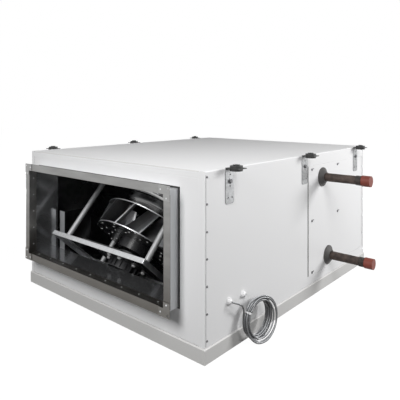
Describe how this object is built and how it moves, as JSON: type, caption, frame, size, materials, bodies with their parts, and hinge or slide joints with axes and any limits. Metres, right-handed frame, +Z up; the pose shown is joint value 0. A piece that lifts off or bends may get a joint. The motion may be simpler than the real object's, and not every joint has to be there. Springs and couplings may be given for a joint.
{
  "type": "air handling unit",
  "caption": "Ceiling air handling unit: flat white insulated casing with duct flanges at both ends, an inclined plug fan inside the outlet, heater pipes and hanging brackets.",
  "frame": {"origin": "on the floor, under the middle of the casing", "axes": "+Z up, -Y out of the outlet, +X out of the side with the heater pipes"},
  "size_m": [1.379, 1.455, 0.6435],
  "materials": {
    "white_paint": "satin powder coat",
    "tray_paint": "satin powder coat",
    "galvanised": "galvanised sheet",
    "zinc": "bright zinc plate",
    "aluminium": "rolled",
    "black_paint": "gloss",
    "motor_casting": "cast",
    "rusty_steel": "oxidised",
    "red_plastic": "moulded",
    "black_rubber": "moulded",
    "white_plastic": "moulded",
    "cable_sheath": "extruded sheath",
    "filter_cloth": "pleated fleece"
  },
  "bodies": {
    "casing": {"bottom_tray": "tray_paint", "left_panel": "white_paint", "right_panel": "white_paint", "service_cover": "white_paint", "top_panel": "white_paint", "front_panel": "white_paint", "rear_panel": "white_paint", "outlet_gasket": "black_rubber", "outlet_collar": "galvanised", "outlet_flange_rails": "galvanised", "outlet_flange_corners": "galvanised", "inlet_gasket": "black_rubber", "inlet_collar": "galvanised", "inlet_flange_rails": "galvanised", "inlet_flange_corners": "galvanised", "fan_bulkhead": "galvanised", "inlet_nozzle": "galvanised", "spacer_rods": "zinc", "motor_frame": "zinc", "motor_plate": "black_paint", "motor_stator": "motor_casting", "left_fan_rail": "galvanised", "right_fan_rail": "galvanised", "heater_coil": "aluminium", "heater_headers": "rusty_steel", "supply_pipe": "rusty_steel", "return_pipe": "rusty_steel", "pipe_seals": "black_rubber", "pipe_caps": "red_plastic", "filter_frame": "galvanised", "filter_media": "filter_cloth", "left_brackets": "zinc", "right_brackets": "zinc", "isolators": "black_rubber", "isolator_washers": "black_paint", "cable_glands": "white_plastic", "cable_lead": "cable_sheath", "cable_coil": "cable_sheath", "coil_tie": "white_plastic"},
    "impeller": {"impeller_backplate": "black_paint", "impeller_blades": "aluminium", "impeller_shroud": "galvanised", "rotor_hub": "black_paint"}
  },
  "joints": [
    {"name": "impeller_spin", "type": "hinge", "parent": "casing", "child": "impeller", "pos_m": [-0.04, -0.506, 0.153], "axis": [0, 0.6691, 0.7431], "continuous": true}
  ]
}
